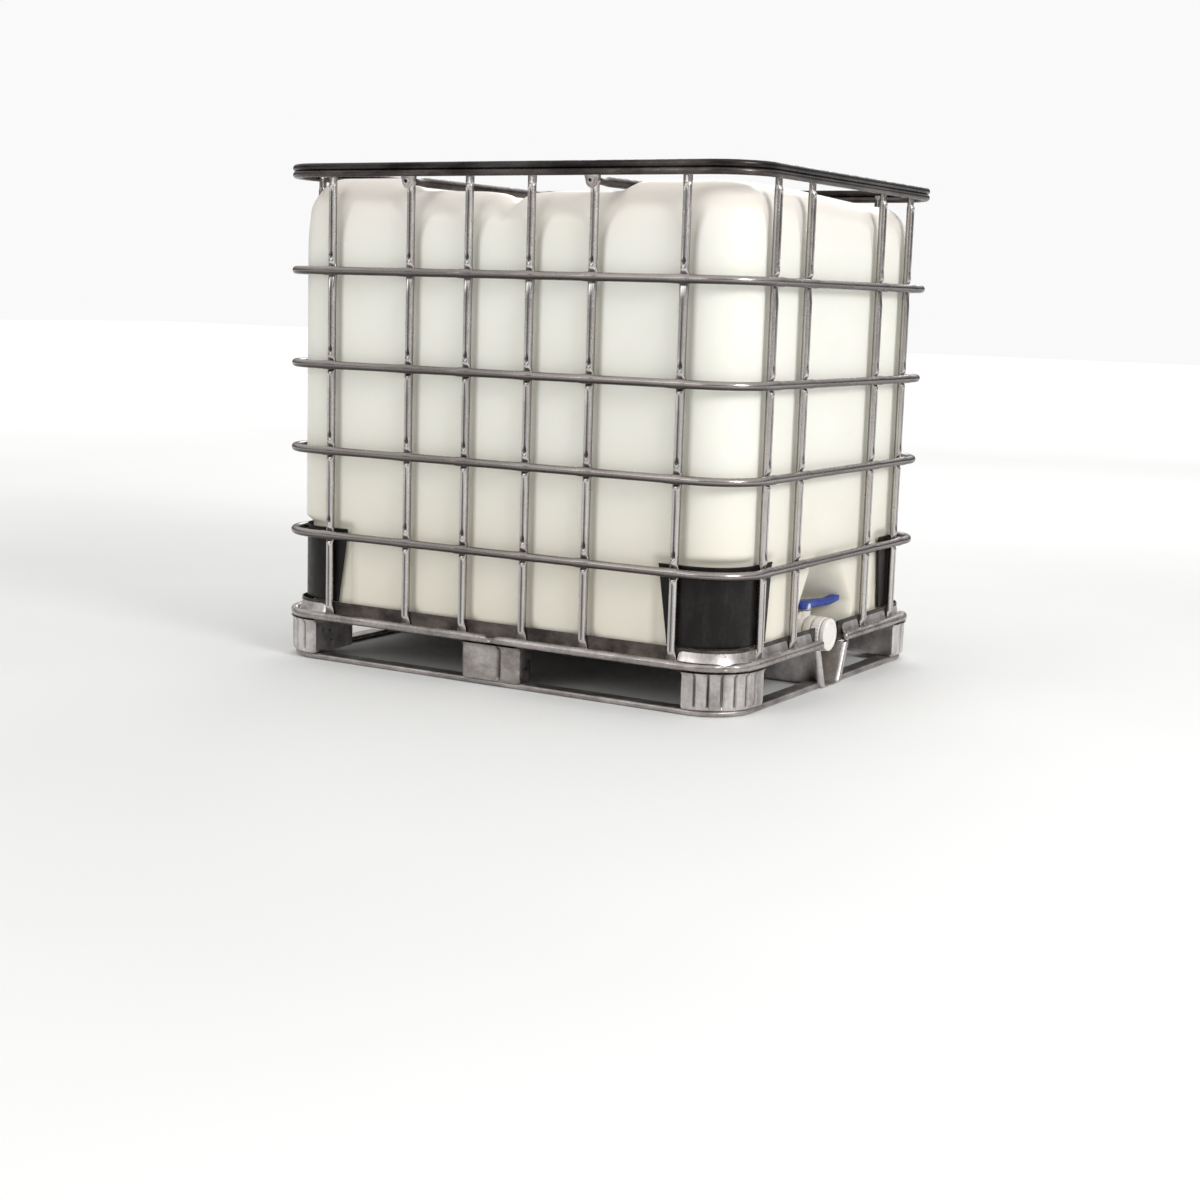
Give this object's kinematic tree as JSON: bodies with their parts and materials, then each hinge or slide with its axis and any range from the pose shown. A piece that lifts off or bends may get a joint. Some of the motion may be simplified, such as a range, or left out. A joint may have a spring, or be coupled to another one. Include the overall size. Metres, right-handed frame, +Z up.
{
  "type": "intermediate bulk container",
  "caption": "Rigid plastic bulk liquid bottle in a galvanised tube cage on a steel pallet, with a screw filler cap and a quarter-turn outlet valve.",
  "frame": {"origin": "middle of the footprint, on the floor under the skid frame", "axes": "+X towards the outlet valve, +Y to the container's left side, +Z up"},
  "size_m": [1.2, 1, 1.11],
  "materials": {
    "bottle_plastic": "translucent natural polyethylene, satin",
    "cage_steel": "galvanised, satin",
    "bright_zinc": "bright rough zinc",
    "black_plastic": "matte moulded",
    "screw_steel": "zinc plated",
    "cap_black": "matte moulded",
    "rubber": "matte",
    "cap_white": "satin moulded",
    "valve_white": "satin moulded",
    "tray_steel": "weathered galvanised",
    "skid_steel": "weathered galvanised",
    "ball_plastic": "smooth moulded",
    "lever_blue": "satin moulded",
    "seat_plastic": "smooth",
    "vent_red": "matte moulded"
  },
  "bodies": {
    "container": {"bottle": "bottle_plastic", "cage_ring_1": "cage_steel", "cage_ring_2": "cage_steel", "cage_ring_3": "cage_steel", "cage_ring_4": "cage_steel", "cage_top_frame": "cage_steel", "corner_foot_1": "bright_zinc", "corner_foot_2": "bright_zinc", "corner_foot_3": "bright_zinc", "corner_foot_4": "bright_zinc", "corner_guard_1": "black_plastic", "corner_guard_2": "black_plastic", "corner_guard_3": "black_plastic", "corner_guard_4": "black_plastic", "crossbar_screws": "screw_steel", "front_crossbar": "cage_steel", "front_post_1": "cage_steel", "front_post_2": "cage_steel", "front_post_3": "cage_steel", "front_post_4": "cage_steel", "front_valve_support": "bright_zinc", "left_post_1": "cage_steel", "left_post_2": "cage_steel", "left_post_3": "cage_steel", "left_post_4": "cage_steel", "left_post_5": "cage_steel", "left_post_6": "cage_steel", "outlet_union_nut": "valve_white", "pallet_rim_tube": "bright_zinc", "pallet_tray": "tray_steel", "rear_crossbar": "cage_steel", "rear_foot": "bright_zinc", "rear_post_1": "cage_steel", "rear_post_2": "cage_steel", "rear_post_3": "cage_steel", "rear_post_4": "cage_steel", "right_post_1": "cage_steel", "right_post_2": "cage_steel", "right_post_3": "cage_steel", "right_post_4": "cage_steel", "right_post_5": "cage_steel", "right_post_6": "cage_steel", "side_foot_left": "bright_zinc", "side_foot_right": "bright_zinc", "skid_frame": "skid_steel", "stem_seal": "rubber", "valve_body": "valve_white", "valve_seats": "seat_plastic"},
    "valve_rotor": {"valve_ball": "ball_plastic", "valve_stem": "ball_plastic", "valve_lever": "lever_blue", "lever_screw": "screw_steel"},
    "filler_seal": {"filler_gasket": "rubber"},
    "filler_cap": {"filler_cap": "cap_black", "vent_plug": "vent_red"},
    "outlet_seal": {"outlet_cap_gasket": "rubber"},
    "outlet_cap": {"outlet_cap": "cap_white"}
  },
  "joints": [
    {"name": "valve_turn", "type": "hinge", "parent": "container", "child": "valve_rotor", "pos_m": [0.515, 0, 0.113], "axis": [0, 0, -1], "range_deg": [0, 90]},
    {"name": "filler_cap_lift", "type": "slide", "parent": "container", "child": "filler_seal", "axis": [0, 0, 1], "range_m": [0, 0.15]},
    {"name": "filler_cap_turn", "type": "hinge", "parent": "filler_seal", "child": "filler_cap", "pos_m": [0, 0, 1.06], "axis": [0, 0, 1], "range_deg": [0, 540]},
    {"name": "outlet_cap_pull", "type": "slide", "parent": "container", "child": "outlet_seal", "axis": [1, 0, 0], "range_m": [0, 0.08]},
    {"name": "outlet_cap_turn", "type": "hinge", "parent": "outlet_seal", "child": "outlet_cap", "pos_m": [0.56, 0, 0.113], "axis": [1, 0, 0], "range_deg": [0, 720]}
  ]
}
